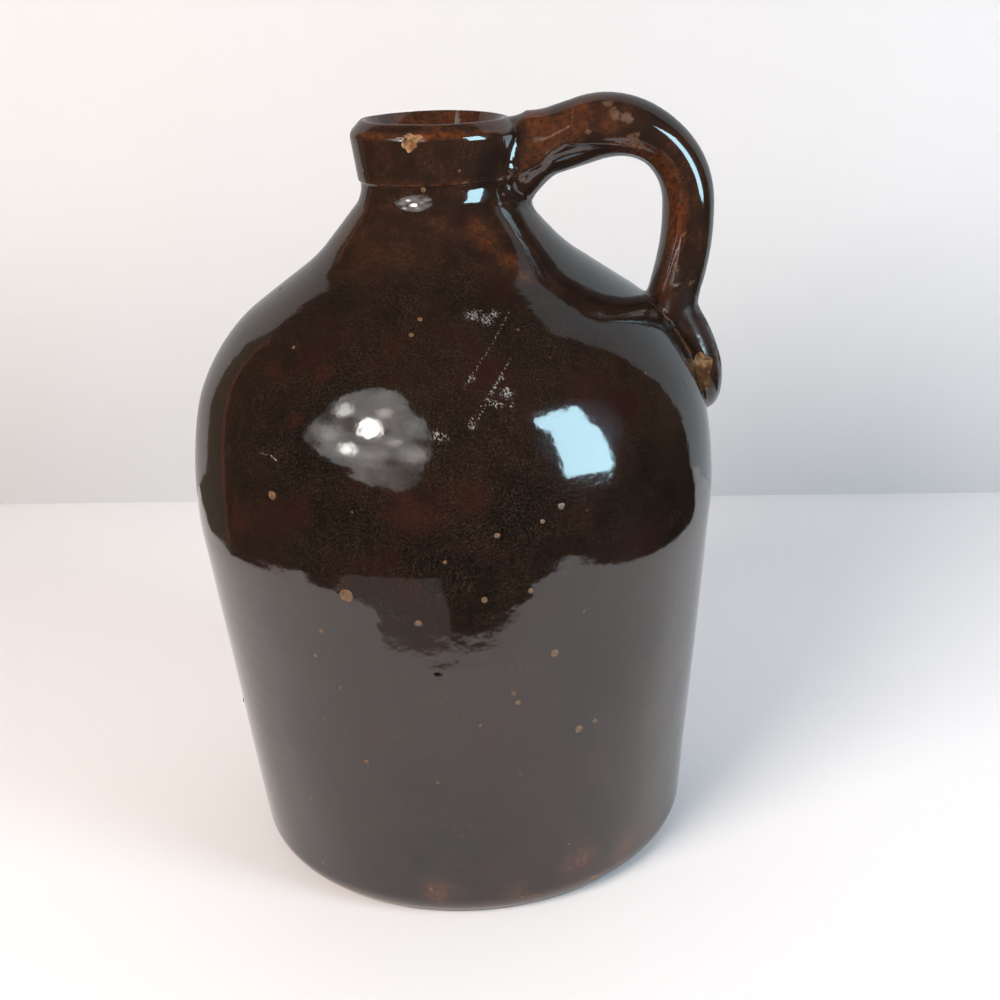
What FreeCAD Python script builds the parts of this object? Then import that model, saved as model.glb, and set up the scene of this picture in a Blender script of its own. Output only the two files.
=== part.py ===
import FreeCAD, Part
import math
import os

import Sketcher

# Stoneware jug of about half a gallon, thrown on a wheel and fired in one piece:
# a hollow body with a drawn-in neck, a turned collar round the mouth, and one pulled
# strap handle from the collar to the shoulder, pressed down with the thumb at its tail.
# +Z is up, the origin is the centre of the flat base, and +X points to the handle.
# Lengths are in millimetres and angles in degrees. A corner is where two straight
# runs of the outline cross, before that corner is rounded.

DRIVING = (
    ("base_radius", 62.0, "edge of the flat base"),
    ("foot_step", 4.0, "foot corner stands out from the base edge"),
    ("foot_height", 4.2, "height of the foot corner"),
    ("foot_round", 9.0, "rounding of the foot corner"),
    ("belly_radius", 77.4, "corner between the wall and the shoulder"),
    ("belly_height", 119.6, "height of the belly corner"),
    ("belly_round", 105.0, "rounding of the belly corner"),
    ("shoulder_inset", 8.3, "shoulder corner lies inside the belly corner"),
    ("shoulder_rise", 35.3, "shoulder corner above the belly corner"),
    ("shoulder_round", 44.0, "rounding of the shoulder corner"),
    ("cone_share", 0.2908, "cone corner's place between the neck, 0, and the shoulder, 1"),
    ("cone_rise", 23.8, "cone corner above the shoulder corner"),
    ("cone_round", 40.0, "rounding of the cone corner"),
    ("neck_radius", 21.3, "outside of the neck below the collar"),
    ("neck_rise", 16.1, "neck corner above the cone corner"),
    ("neck_round", 8.0, "rounding of the neck corner"),
    ("neck_length", 4.2, "straight neck between its corner and the collar"),
    ("wall", 6.5, "thickness of the fired wall and floor"),
    ("collar_height", 16.0, "height of the collar"),
    ("collar_step", 0.7, "collar stands out from the neck at its lower edge"),
    ("collar_flare", 1.3, "collar stands out that much more at its upper edge"),
    ("rim_bevel", 3.4, "height and width of the bevel round the rim"),
    ("lip_width", 0.8, "flat crest between the bevel and the mouth"),
    ("mouth_depth", 7.0, "depth of the funnel inside the mouth"),
    ("strap_depth", 14.4, "strap measured in its plane, down the grip"),
    ("strap_width", 21.0, "strap measured across its plane"),
    ("climb_depth", 18.0, "thicker strap between the collar and the crown"),
    ("climb_angle", 15.0, "slope at which the strap leaves the collar"),
    ("climb_drop", 11.5, "strap's axis below the rim, at the neck's wall"),
    ("root_depth", 25.5, "strap smeared on the collar and neck, up and down"),
    ("root_width", 24.0, "strap smeared on the collar, across"),
    ("crown_reach", 70.0, "strap's axis at its farthest from the jug's axis"),
    ("crown_round", 22.0, "bend over the top of the handle"),
    ("grip_round", 80.0, "gentle bend down the grip"),
    ("grip_turn", 15.0, "angle of that bend"),
    ("tail_drop", 28.5, "height of the tail pressed on the shoulder"),
    ("tail_width", 26.0, "widest place of the tail"),
    ("tail_height", 7.9, "tail stands proud of the shoulder"),
    ("tail_dip", 1.0, "tail's end runs out below the shoulder's surface"),
    ("pinch_height", 1.3, "how much more at the pinch under the strap"),
)

DERIVED = (
    ("foot_radius", "base_radius + foot_step"),
    ("wall_slope", "(belly_radius - foot_radius) / (belly_height - foot_height)"),
    ("thrown_radius", "foot_radius - foot_height * wall_slope"),
    ("trim_radius", "foot_radius + foot_step"),
    ("shoulder_radius", "belly_radius - shoulder_inset"),
    ("shoulder_height", "belly_height + shoulder_rise"),
    ("cone_radius", "neck_radius + cone_share * (shoulder_radius - neck_radius)"),
    ("cone_height", "shoulder_height + cone_rise"),
    ("neck_height", "cone_height + neck_rise"),
    ("collar_base", "neck_height + neck_length"),
    ("rim_height", "collar_base + collar_height"),
    ("collar_radius", "neck_radius + collar_step"),
    ("rim_radius", "collar_radius + collar_flare"),
    ("crest_radius", "rim_radius - rim_bevel"),
    ("bore_radius", "neck_radius - wall"),
    ("mid_wall_radius", "neck_radius - wall / 2"),
    ("clear_reach", "2 * (belly_radius + crown_reach)"),
)

# The outline from the base up: names of the radius and the height at each corner.
OUTLINE = (
    ("base_radius", "base_height"),
    ("foot_radius", "foot_height"),
    ("belly_radius", "belly_height"),
    ("shoulder_radius", "shoulder_height"),
    ("cone_radius", "cone_height"),
    ("neck_radius", "neck_height"),
    ("neck_radius", "rim_height"),
)
ROUNDED = ("foot", "belly", "shoulder", "cone", "neck")
MATCH = 0.01  # how near a circle has to be to the one looked for
OVAL_POINTS = 16  # points that a section of the handle passes through
OVAL_FULLNESS = 0.9  # 1 is an ellipse, less is fuller at its shoulders
GRIP_HOLD = 0.125  # share of the wall by which the strap's ends are sunk in it

# Sections of the handle, as shares of the stretch that they lie on.
# The climb also gives how much of the root's extra depth is left there: the web under it.
CLIMB = ((0.15, 0.98), (0.28, 0.85), (0.38, 0.42), (0.5, 0.15), (0.7, 0.0), (1.0, 0.0))
CROWN = (0.34, 0.67, 1.0)
CROWN_THINNED = 0.5  # share of the crown where the strap is down to its own depth
GRIP = (0.5, 1.0)
LAST_RUN = (0.35, 0.7)
TAIL = (0.0, 0.2, 0.4, 0.6, 0.76, 0.88, 0.96, 1.03)
TAIL_WIDEST = 0.35
TAIL_TIP = 0.04  # least share of the squared width, at the rounded end
TAIL_ROOTED = 0.7  # share of the wall that the tail fills

doc = FreeCAD.newDocument("Jug")
sheet = doc.addObject("Spreadsheet::Sheet", "Sizes")


def write_cell(row, name, content, note):
    """One row of the sheet: what it is, its content, and its alias."""
    sheet.set(f"A{row}", note)
    sheet.set(f"B{row}", content)
    sheet.setAlias(f"B{row}", name)


def round_formula(index):
    """Rounding of an outline corner, held to half of the shorter run beside it."""
    (low_r, low_z), (here_r, here_z), (high_r, high_z) = OUTLINE[index - 1:index + 2]
    below = f"hypot({here_r} - {low_r}; {here_z} - {low_z})"
    above = f"hypot({high_r} - {here_r}; {high_z} - {here_z})"
    before = f"atan2({here_z} - {low_z}; {here_r} - {low_r})"
    after = f"atan2({high_z} - {here_z}; {high_r} - {here_r})"
    room = f"min({below}; {above}) / 2 / tan(abs({before} - {after}) / 2)"
    return f"=min({ROUNDED[index - 1]}_round; {room})"


def fill_sheet():
    """The driving sizes as plain numbers, then the sizes worked out from them."""
    rows = [(name, str(number), note) for name, number, note in DRIVING]
    rows.append(("base_height", "0", "the base stands on the ground"))
    rows += [(name, f"={formula}", formula) for name, formula in DERIVED]
    for index, corner in enumerate(ROUNDED, start=1):
        rows.append((f"{corner}_fillet", round_formula(index), "rounding as it fits"))
    for row, (name, content, note) in enumerate(rows, start=1):
        write_cell(row, name, content, note)
    doc.recompute()


def size(name):
    """A size read from the sheet, in millimetres or degrees."""
    return float(sheet.get(name))


def origin_plane(body, role):
    """One of a body's own origin planes."""
    return next(item for item in body.Origin.OriginFeatures if item.Role == role)


def closed_sketch(body, name, corners):
    """Polygon in the XZ plane, each corner a pair of the sheet's names for r and z."""
    sketch = body.newObject("Sketcher::SketchObject", name)
    sketch.AttachmentSupport = [(origin_plane(body, "XZ_Plane"), "")]
    sketch.MapMode = "FlatFace"
    evaluate = sheet.evalExpression
    points = [FreeCAD.Vector(evaluate(r), evaluate(z), 0) for r, z in corners]
    count = len(points)
    for start, end in zip(points, points[1:] + points[:1]):
        sketch.addGeometry(Part.LineSegment(start, end), False)
    for line in range(count):
        sketch.addConstraint(Sketcher.Constraint("Coincident", line, 2, (line + 1) % count, 1))
    for line, (point, (r, z)) in enumerate(zip(points, corners)):
        drive(sketch, Sketcher.Constraint("DistanceX", -1, 1, line, 1, point.x), r)
        drive(sketch, Sketcher.Constraint("DistanceY", -1, 1, line, 1, point.y), z)
    return sketch


def drive(sketch, constraint, formula):
    """Add a dimension to a sketch and bind it to the sheet."""
    number = sketch.addConstraint(constraint)
    bound = "".join(f"Sizes.{word}" if word[0].isalpha() else word for word in words(formula))
    sketch.setExpression(f"Constraints[{number}]", bound)


def words(formula):
    """A formula split into its names and what stands between them."""
    parts = [""]
    for letter in formula:
        is_name = letter.isalnum() or letter == "_"
        if parts[-1] and (parts[-1][-1].isalnum() or parts[-1][-1] == "_") != is_name:
            parts.append("")
        parts[-1] += letter
    return [part for part in parts if part]


def turned(body, name, sketch, kind="PartDesign::Revolution"):
    """A sketch turned once about the jug's axis, as material or as a cut."""
    feature = body.newObject(kind, name)
    feature.Profile = sketch
    feature.ReferenceAxis = (sketch, ["V_Axis"])
    feature.Angle = 360
    doc.recompute()
    return feature


def circle_name(shape, radius, height):
    """Name of the circular edge of that radius at that height."""
    for number, edge in enumerate(shape.Edges, start=1):
        if not isinstance(edge.Curve, Part.Circle):
            continue
        right_radius = abs(edge.Curve.Radius - radius) < MATCH
        if right_radius and abs(edge.Curve.Center.z - height) < MATCH:
            return f"Edge{number}"
    raise RuntimeError(f"no circle of radius {radius} at height {height}")


def round_off(body, feature, corner):
    """The fillet at one corner of the outline."""
    edge = circle_name(feature.Shape, size(f"{corner}_radius"), size(f"{corner}_height"))
    rounded = body.newObject("PartDesign::Fillet", f"{corner.title()}Round")
    rounded.Base = (feature, [edge])
    rounded.setExpression("Radius", f"Sizes.{corner}_fillet")
    doc.recompute()
    return rounded


def add_vessel(body):
    """The thrown body and neck: a turned outline, rounded, opened, hollowed and trimmed."""
    above_foot = OUTLINE[OUTLINE.index(("belly_radius", "belly_height")):]
    base = [("base_height", "base_height"), ("thrown_radius", "base_height")]
    corners = [*base, *above_foot, ("base_height", "rim_height")]
    feature = turned(body, "Thrown", closed_sketch(body, "Outline", corners))
    for corner in ROUNDED[1:]:
        feature = round_off(body, feature, corner)
    top = max(range(len(feature.Shape.Faces)), key=lambda i: feature.Shape.Faces[i].CenterOfMass.z)
    hollow = body.newObject("PartDesign::Thickness", "Hollow")
    hollow.Base = (feature, [f"Face{top + 1}"])
    hollow.setExpression("Value", "Sizes.wall")
    hollow.Reversed = True
    hollow.Join = "Intersection"
    doc.recompute()
    foot = (OUTLINE[0], ("trim_radius", "base_height"), OUTLINE[1])
    trimmed = turned(body, "FootTrim", closed_sketch(body, "Foot", foot), "PartDesign::Groove")
    round_off(body, trimmed, ROUNDED[0])
    return feature.Shape


def add_collar(body):
    """The turned collar with its bevelled rim."""
    collar = (
        ("mid_wall_radius", "collar_base"),
        ("collar_radius", "collar_base"),
        ("rim_radius", "rim_height - rim_bevel"),
        ("crest_radius", "rim_height"),
        ("mid_wall_radius", "rim_height"),
    )
    turned(body, "Collar", closed_sketch(body, "CollarOutline", collar))


def add_mouth(body):
    """The funnel of the mouth, cut after the strap's root is on the collar."""
    mouth = (
        ("base_height", "rim_height - mouth_depth"),
        ("bore_radius", "rim_height - mouth_depth"),
        ("crest_radius - lip_width", "rim_height"),
        ("base_height", "rim_height"),
    )
    turned(body, "Mouth", closed_sketch(body, "MouthOutline", mouth), "PartDesign::Groove")


def oval(body, name, centre, heading, depth, width):
    """Oval section of the handle, square across its heading in the XZ plane."""
    sketch = body.newObject("Sketcher::SketchObject", name)
    sketch.AttachmentSupport = [(origin_plane(body, "YZ_Plane"), "")]
    sketch.MapMode = "FlatFace"
    x, z = centre
    lean = FreeCAD.Rotation(FreeCAD.Vector(1, 0, 0), -heading)
    sketch.AttachmentOffset = FreeCAD.Placement(FreeCAD.Vector(0, z, x), lean)
    points = []
    for step in range(OVAL_POINTS):
        around = 2 * math.pi * step / OVAL_POINTS
        across, up = (
            math.copysign(abs(part) ** OVAL_FULLNESS, part)
            for part in (math.cos(around), math.sin(around))
        )
        points.append(FreeCAD.Vector(across * width / 2, up * depth / 2, 0))
    outline = Part.BSplineCurve()
    outline.interpolate(Points=points, PeriodicFlag=True)
    sketch.addGeometry(outline, False)
    return sketch


def strap_stations():
    """Centre, heading, depth and width of the strap's sections, from collar to shoulder."""
    rim, depth, width = size("rim_height"), size("strap_depth"), size("strap_width")
    slope = math.radians(size("climb_angle"))
    crown, grip = size("crown_round"), size("grip_round")
    start = size("mid_wall_radius") + GRIP_HOLD * size("wall")
    crown_x = size("crown_reach") - crown
    climb_end_x = crown_x - crown * math.sin(slope)
    climb_z = rim - size("climb_drop")
    climb_end_z = climb_z + (climb_end_x - start) * math.tan(slope)
    crown_z = climb_end_z - crown * math.cos(slope)

    root_z = rim - size("root_depth") / 2 - size("lip_width")
    stations = [((start, root_z), 0.0, size("root_depth"), size("root_width"))]
    for share, swell in CLIMB:
        x = start + share * (climb_end_x - start)
        thick = size("climb_depth") + swell * (size("root_depth") - size("climb_depth"))
        sag = swell * (climb_z - root_z)
        z = climb_z + (x - start) * math.tan(slope) - sag
        stations.append(((x, z), share * size("climb_angle"), thick, width))
    for share in CROWN:
        heading = size("climb_angle") - share * (90 + size("climb_angle"))
        around = math.radians(heading + 90)
        centre = (crown_x + crown * math.cos(around), crown_z + crown * math.sin(around))
        thick = depth + (size("climb_depth") - depth) * max(0.0, CROWN_THINNED - share)
        stations.append((centre, heading, thick, width))
    for share in GRIP:
        around = math.radians(share * size("grip_turn"))
        x = size("crown_reach") - grip * (1 - math.cos(around))
        z = crown_z - grip * math.sin(around)
        stations.append(((x, z), -90 - share * size("grip_turn"), depth, width))
    return stations


def meet(shape, start, heading):
    """Where a line in the XZ plane, from outside a solid, first meets it, as x and z."""
    begin = FreeCAD.Vector(start[0], 0, start[1])
    along = FreeCAD.Vector(math.cos(heading), 0, math.sin(heading))
    inside = shape.common(Part.makeLine(begin, begin + along * 2 * size("clear_reach")))
    first = min((vertex.Point for vertex in inside.Vertexes), key=begin.distanceToPoint)
    return first.x, first.z


def add_strap(body, vessel):
    """The pulled strap, from inside the collar's wall down into the shoulder's."""
    stations = strap_stations()
    (x, z), heading, depth, width = stations[-1]
    foot_x, foot_z = meet(vessel, (x, z), math.radians(heading))
    sunk = 1 + GRIP_HOLD * size("wall") / math.hypot(foot_x - x, foot_z - z)
    for share in (*LAST_RUN, sunk):
        centre = (x + share * (foot_x - x), z + share * (foot_z - z))
        stations.append((centre, heading, depth, width))
    loft(body, "Strap", stations)
    return foot_z


def add_tail(body, vessel, top_z):
    """The strap's tail, pressed along the shoulder and thinned to a rounded end."""
    rooted = TAIL_ROOTED * size("wall")
    outside = size("clear_reach")
    stations = []
    for share in TAIL:
        z = top_z - share * size("tail_drop")
        low, high = (meet(vessel, (outside, z + step), math.pi) for step in (-1, 1))
        middle = ((low[0] + high[0]) / 2, z)
        heading = math.atan2(low[1] - high[1], low[0] - high[0])
        left = max(0.0, 1 - share ** 3)
        pinch = size("pinch_height") * max(0.0, 1 - share) ** 3
        dip = size("tail_dip") if share > 1 else 0.0
        proud = size("tail_height") * math.sqrt(left) + pinch - dip
        spread = max(TAIL_TIP, 1 - ((share - TAIL_WIDEST) / (1 - TAIL_WIDEST)) ** 2)
        out = (proud - rooted) / 2
        centre = (middle[0] - out * math.sin(heading), middle[1] + out * math.cos(heading))
        across = size("tail_width") * math.sqrt(spread)
        stations.append((centre, math.degrees(heading), proud + rooted, across))
    loft(body, "Tail", stations)


def loft(body, name, stations):
    """Material stretched through oval sections."""
    sections = [oval(body, f"{name}{i}", *station) for i, station in enumerate(stations)]
    doc.recompute()
    feature = body.newObject("PartDesign::AdditiveLoft", name)
    feature.Profile = sections[0]
    feature.Sections = sections[1:]
    doc.recompute()
    return feature


def write_parts(bodies):
    """Refuse a failed object or a bad shape, then write each body under its label."""
    for item in doc.Objects:
        if any(word in ("Invalid", "Error") for word in item.State):
            raise RuntimeError(f"{item.Name} failed: {item.State}")
    for body in bodies:
        if body.Shape.isNull() or not body.Shape.isValid() or len(body.Shape.Solids) != 1:
            raise RuntimeError(f"{body.Label} has no good single solid")
    os.makedirs("parts", exist_ok=True)
    for body in bodies:
        body.Shape.exportStep(f"parts/{body.Label}.step")


fill_sheet()
jug = doc.addObject("PartDesign::Body", "Jug")
jug.Label = "jug"
vessel_shape = add_vessel(jug)
add_collar(jug)
strap_foot = add_strap(jug, vessel_shape)
add_tail(jug, vessel_shape, strap_foot)
add_mouth(jug)
write_parts([jug])
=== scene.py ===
import math

import bmesh
import bpy
from mathutils import Matrix, Vector, noise
from mathutils.bvhtree import BVHTree
from mathutils.kdtree import KDTree


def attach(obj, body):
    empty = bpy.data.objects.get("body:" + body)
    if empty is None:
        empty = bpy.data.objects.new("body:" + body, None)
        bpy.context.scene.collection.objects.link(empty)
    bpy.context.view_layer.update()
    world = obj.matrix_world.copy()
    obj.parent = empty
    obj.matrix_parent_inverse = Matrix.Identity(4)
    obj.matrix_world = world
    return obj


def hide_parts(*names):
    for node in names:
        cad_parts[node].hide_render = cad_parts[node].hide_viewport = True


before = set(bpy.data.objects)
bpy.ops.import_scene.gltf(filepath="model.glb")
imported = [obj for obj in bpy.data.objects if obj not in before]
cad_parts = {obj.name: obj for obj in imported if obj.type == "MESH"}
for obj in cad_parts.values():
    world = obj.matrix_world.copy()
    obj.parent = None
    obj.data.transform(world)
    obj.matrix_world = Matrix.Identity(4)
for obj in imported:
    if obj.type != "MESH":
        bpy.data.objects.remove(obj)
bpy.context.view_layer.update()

# A thrown stoneware jug with a dark slip glaze. Sizes are in millimetres until MM turns
# them to metres. The jug's axis is Z, it stands at height 0, and its handle points to +X.
MM = 0.001

# Outside of the jug from base to rim: radius, height and rounding of each corner.
BASE = (62.0, 0.0, 0.8)
FOOT = (66.0, 4.2, 8.0)
BELLY = (77.4, 119.6, 105.0)
SHOULDER = (69.1, 154.9, 44.0)
CONE = (35.2, 178.7, 40.0)
NECK = (21.3, 194.8, 8.0)
COLLAR_FOOT = (21.4, 199.0, 0.3)
COLLAR_EDGE = (22.1, 199.5, 0.5)
COLLAR_TOP = (23.4, 211.6, 2.4)
CREST = (19.9, 215.0, 1.1)
LIP = (18.8, 214.8, 0.7)
MOUTH = (14.8, 208.0, 4.0)
WALL = 6.5
FLOOR_ROUND = 9.0
OUTSIDE_STEP = 1.7  # distance between rings of faces on the outside
INSIDE_STEP = 8.0
TURN_STEPS = 216
ROUND_STEPS = 5  # degrees of a rounded corner for each of its faces
SEAM_GAP = 0.001  # points nearer than this are one

# The pulled strap: a climb from the collar, a bend over the crown, and a gentle grip.
NECK_MIDDLE = NECK[0] - WALL / 2
RIM = CREST[1]
STRAP_DEPTH = 14.4
STRAP_WIDTH = 21.0
CLIMB_DEPTH = 18.0
CLIMB_ANGLE = 15.0
CLIMB_DROP = 11.5
ROOT_DEPTH = 25.5
ROOT_WIDTH = 24.0
ROOT_SAG = 0.8
CROWN_REACH = 70.0
CROWN_ROUND = 22.0
GRIP_ROUND = 80.0
GRIP_TURN = 15.0
TAIL_DROP = 28.5
TAIL_WIDTH = 26.0
TAIL_HEIGHT = 7.9
PINCH_HEIGHT = 1.3
STRAP_SIDES = 44
CLIMB_STEPS, CROWN_STEPS, GRIP_STEPS, FOOT_STEPS, TAIL_STEPS = 16, 24, 12, 6, 24
CLEAR = 200.0  # farther out than any of the jug
GAP_MIDDLE = Vector((42, 0, 178))  # of the opening between handle and neck

# Where the joints are filled: their least reach and height, and how sharply they fold.
JOINT_REACH = 16
JOINT_HEIGHT = 120
JOINT_FOLD = 0.3
JOINT_GROWTH = 2
JOINT_PASSES = 7
POCKET_REACH = 34  # the pocket under the strap's root, smoothed longest
POCKET_LOW, POCKET_HIGH = 182, 208
POCKET_PASSES = 12
JOINT_MERGE = 0.12  # points nearer than this are one, before the smoothing
CHIP_MERGE = 0.02

# How far the fired clay strays from the turned shape: heights and lengths of waves.
RIM_TILT = math.radians(-1.4)
TILT_END, TILT_FADE = 34, 12  # the handle stays level
RIM_WAVER, RIM_WAVER_LENGTH = 0.25, 14
WAVER, WAVER_LENGTH = 0.35, 46.0
FINE_WAVER, FINE_WAVER_LENGTH = 0.1, 15
RIPPLE, RIPPLE_LENGTH = 0.012, 5.5  # faint throwing rings
RIPPLE_DRIFT, RIPPLE_DRIFT_LENGTH = 4, 30
STEADY_FOOT = 12  # the foot stays true up to here
GLAZE_RIB = 0.32  # height of the glaze ribs on the handle
RIB_WIDTH = 1.1

# Marks on the body, each a bearing (0 faces the camera, 90 the handle), a height and a
# width. Clay shows through the blisters.
BLISTERS = (
    (-23, 105, 3.6), (-39, 129, 2.5), (20, 126, 1.7), (24, 59, 2.3), (28, 60, 1.6), (18, 85, 2.2),
    (9, 75, 1.7), (10, 72, 1.7), (-9, 98, 1.8), (4, 104, 1.7), (13, 105, 1.4), (7, 121, 1.5),
    (16, 123, 1.2), (-3, 115, 1.1), (-10, 167, 1.4), (-8, 170, 1.4), (-24, 53, 1.6), (-8, 48, 1.1),
    (2, 66, 1.1), (-30, 93, 1.3), (-44, 163, 1.2), (65, 144, 1.0), (-80, 46, 2.6), (-84, 171, 1.6),
    (-140, 70, 2.4), (160, 120, 2.0), (128, 62, 1.7), (-165, 150, 1.5), (-110, 118, 2.0),
    (118, 96, 1.4), (175, 40, 2.2), (-122, 32, 1.5), (-152, 103, 1.3), (98, 70, 1.8),
    (-11, 198.5, 1.5), (53, 195, 1.2),
)
PITS = ((-6, 83, 2.0), (-13, 73, 1.0), (30, 90, 1.0), (-60, 64, 1.2), (140, 84, 1.6), (-130, 140, 1.3))
RED_STAINS = (
    (-31, 159, 5.5), (-15, 165, 6.5), (-35, 148, 4.5), (4, 149, 3.5), (29, 153, 7.0), (-45, 158, 4.5),
    (-7, 129, 14.0), (3, 131, 9.0), (16, 100, 9.0), (31, 46, 9.0), (22, 184, 6.0), (18, 191, 5.0),
    (30, 181, 5.0), (-50, 120, 9.0), (-150, 90, 16.0), (150, 150, 12.0), (110, 40, 14.0),
)
RUST_PATCHES = (
    (54, 10, 13.0), (64, 14, 12.0), (40, 11, 12.0), (26, 12, 13.0), (-11, 8, 11.0), (7, 7, 9.0),
    (-150, 9, 14.0), (130, 10, 13.0), (20, 189, 7.0), (25, 185, 8.0), (31, 180, 8.0), (33, 176, 6.0),
)
SCUFFS = (
    (8, 170, 3.2), (12, 169, 3.0), (5, 158, 1.6), (12, 154, 2.4), (9, 152, 1.8), (-3, 146, 2.6),
    (4, 148, 1.6), (15, 170, 2.0),
)
# Fine scratches, each a chain of bearings and heights.
SCRATCHES = (
    ((12, 158), (13, 151), (8, 153), (12, 158)),
    ((15, 161), (9, 155), (3, 148)),
    ((20, 170), (10, 163), (3, 156)),
    ((11, 157), (7, 152), (4, 147)),
    ((7, 170), (11, 171), (14, 169), (17, 170)),
    ((-43, 139), (-40, 139), (-38, 138)),
)
SCRATCH_WIDTH = 0.14
# Bare patches on the handle and its roots, each a point and a width.
HANDLE_FLAKES = (
    (47, -5, 214.0, 2.6), (49, -6, 212.5, 3.6), (51, -6, 211.5, 3.6), (54, -7, 208.5, 4.0),
    (56, -7, 206.5, 2.4), (41, -8, 210.0, 2.0), (41, -3, 214.0, 1.6), (67, -10, 180.7, 1.6),
    (65, -10, 171.3, 1.8), (69, -9, 167.5, 1.6), (22, -10, 199.0, 1.6), (19, -11, 196.5, 1.4),
    (73, -6, 138.0, 3.0),
)
# Dusty places on the handle, each a point and a width.
DULL_CLAY = ((71, -8, 154, 22.0), (73, -6, 146, 16.0), (67, -9, 163, 12.0), (50, -5, 212, 8.0))
# Pale lines on the handle, each a chain of points.
HANDLE_CREASE = ((28, -10, 208.3), (31, -10, 209.2), (37, -8, 211.2), (39, -3, 214.3))
TAIL_CREASE = ((54, -5, 165.0), (57, -8, 162.0), (62, -10, 157.0), (66, -10, 151.5), (69, -9, 146.5))
# Ribs where the glaze gathered, each a chain of points.
FOLD = (
    (19, -13, 202), (23, -12, 200), (28, -11, 202), (31, -11, 205.5), (35, -11, 207.5),
    (43, -10, 207.0), (55, -9, 204.5),
)
SPLINTER = ((59, -8, 161.5), (61, -9, 163.5), (64, -9, 165.5), (66.5, -9, 166.5))
RIB = ((65.5, -9, 189), (65.5, -9, 182), (63, -8, 172), (60.5, -8, 165))

# Chips, each a bearing and a height, or a point, then how far its middle stands off the
# skin, and its size across, inwards and upwards.
RIM_CHIP = (-17, 211.2, 0.6, (3.6, 2.0, 2.7))
FOOT_CHIP = (30, 4.7, 0.4, (1.4, 0.9, 1.0))
TAIL_CHIP = ((72.5, -6.5, 141.4), 0.5, (4.3, 2.4, 7.4))
TAIL_HOLE = ((75.0, -5.6, 142.8), 0.0, (2.1, 3.4, 3.0))
# The tail's hole is darkened as painted shade.
TAIL_SHADOW = 2.3  # reach of the dark in the tail's hole
LINE_WIDTH = 0.26
PATH_STEP = 0.5  # between the spots of a painted line
RIB_STEP = 0.6
SCRATCH_STEP = 0.25
BLISTER_RISE, PIT_SINK, DOME = 0.3, -0.35, 1.8
RING_HEIGHT, RING_REACH = 199.6, 0.9  # amber on the collar's ring and on the rim's bevel
BEVEL_HEIGHT, BEVEL_REACH = 212.4, 1.7
CLOUD_REACH = 1.8  # of a soft cloud, for each part of its radius
SPOT_REACH = 1.5
FINE = 3  # cuts of each face edge where small marks need them
FINE_MARGIN = 1.2
FINE_EDGE = 0.9  # shorter edges aren't cut
SLIVER = 0.01
SHARP_ANGLE = 50  # degrees between faces that don't shade as one skin


def lathe_outline(bm, start, corners, step):
    """Chain of edges through the corners, each rounded, its long runs divided."""
    last = start
    chain = []
    for radius, height, rounding in corners:
        point = bm.verts.new((radius, 0, height))
        bm.edges.new((last, point))
        chain.append((point, rounding))
        last = point
    for point, rounding in chain[:-1]:
        if rounding > 0:
            round_corner(bm, point, rounding)
    bm.edges.ensure_lookup_table()
    fresh = [edge for edge in bm.edges if not edge.tag]
    for edge in fresh:
        cuts = int(edge.calc_length() / step)
        if cuts:
            bmesh.ops.subdivide_edges(bm, edges=[edge], cuts=cuts)
    for edge in bm.edges:
        edge.tag = True
    end = Vector((corners[-1][0], 0, corners[-1][1]))
    return min(bm.verts, key=lambda vert: (vert.co - end).length)


def round_corner(bm, point, rounding):
    """An arc of that radius in place of one corner of the chain."""
    one, two = (edge.other_vert(point).co - point.co for edge in point.link_edges)
    turn = math.pi - one.angle(two)
    offset = rounding * math.tan(turn / 2)
    steps = max(2, int(math.degrees(turn) / ROUND_STEPS), int(rounding * turn / OUTSIDE_STEP))
    bmesh.ops.bevel(
        bm, geom=[point], offset=offset, offset_type="OFFSET", segments=steps,
        profile=0.5, affect="VERTICES", material=-1,
    )


def wall_inside(before, corner, after):
    """The corner of the inside that lies one wall from both runs beside an outside corner."""
    below = Vector((corner[0] - before[0], corner[1] - before[1])).normalized()
    above = Vector((after[0] - corner[0], after[1] - corner[1])).normalized()
    inward = Vector((-below.y - above.y, below.x + above.x))
    shift = inward * (WALL / (1 + below.dot(above)))
    hollow = below.x * above.y - below.y * above.x < 0
    rounding = corner[2] + (WALL if hollow else -WALL)
    return corner[0] + shift.x, corner[1] + shift.y, max(1.0, rounding)


def thrown_body():
    """The turned body, collar and hollow, as one closed shell."""
    bm = bmesh.new()
    middle = bm.verts.new((0, 0, 0))
    outside = (BASE, FOOT, BELLY, SHOULDER, CONE, NECK, COLLAR_FOOT, COLLAR_EDGE, COLLAR_TOP, CREST, LIP)
    edge = lathe_outline(bm, middle, outside, OUTSIDE_STEP)
    belly = wall_inside(FOOT, BELLY, SHOULDER)
    rise = (BELLY[0] - FOOT[0]) / (BELLY[1] - FOOT[1])
    floor = (belly[0] - (belly[1] - WALL) * rise, WALL, FLOOR_ROUND)
    inside = (
        MOUTH,
        wall_inside(CONE, NECK, (NECK[0], RIM)),
        wall_inside(SHOULDER, CONE, NECK),
        wall_inside(BELLY, SHOULDER, CONE),
        belly,
        floor,
        (0.0, WALL, 0.0),
    )
    lathe_outline(bm, edge, inside, INSIDE_STEP)
    bmesh.ops.spin(
        bm, geom=bm.verts[:] + bm.edges[:], cent=(0, 0, 0), axis=(0, 0, 1),
        angle=math.tau, steps=TURN_STEPS, use_merge=True, use_duplicate=False,
    )
    bmesh.ops.remove_doubles(bm, verts=bm.verts, dist=SEAM_GAP)
    bmesh.ops.recalc_face_normals(bm, faces=bm.faces)
    return bm


def ease(share):
    """From 0 to 1 with a soft start and a soft end."""
    share = min(1.0, max(0.0, share))
    return share * share * (3 - 2 * share)


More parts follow.
